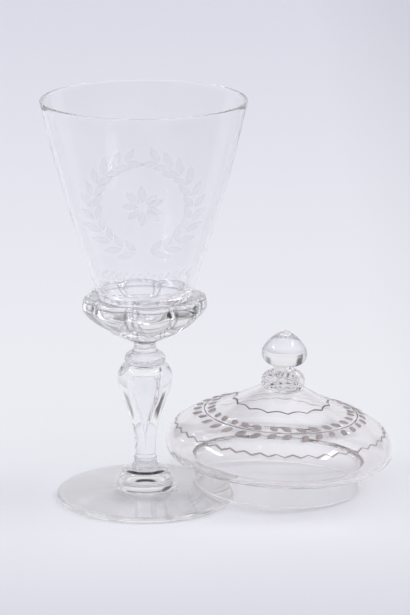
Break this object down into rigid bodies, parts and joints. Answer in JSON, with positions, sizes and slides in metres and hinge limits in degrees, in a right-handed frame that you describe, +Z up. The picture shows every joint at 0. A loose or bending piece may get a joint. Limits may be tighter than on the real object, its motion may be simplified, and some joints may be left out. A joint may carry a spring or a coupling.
{
  "type": "covered goblet",
  "caption": "Tall clear glass goblet: funnel bowl in a lobed collar on a hollow baluster stem and round foot, with a domed lid, garlanded and finialled, that lifts away.",
  "frame": {"origin": "centre of the foot's resting ring, on the table", "axes": "+Z up along the goblet's axis, +X towards the lid that stands beside the goblet, +Y away from the front"},
  "size_m": [0.1812, 0.1265, 0.2094],
  "materials": {
    "blown_glass": "clear, thin blown glass, fire polished",
    "solid_glass": "clear, thick worked glass, fire polished"
  },
  "bodies": {
    "goblet": {"foot": "solid_glass", "foot_ring": "solid_glass", "stem_baluster": "blown_glass", "stem_disc": "solid_glass", "stem_neck": "solid_glass", "collar": "solid_glass", "bowl": "blown_glass"},
    "lid": {"lid_dome": "blown_glass", "lid_flange": "blown_glass", "finial_collar": "solid_glass", "finial_knob": "solid_glass"}
  },
  "joints": [
    {"name": "lid_lift", "type": "slide", "parent": "goblet", "child": "lid", "axis": [0.6917, 0.147, 0.7071], "range_m": [0, 0.15]}
  ]
}
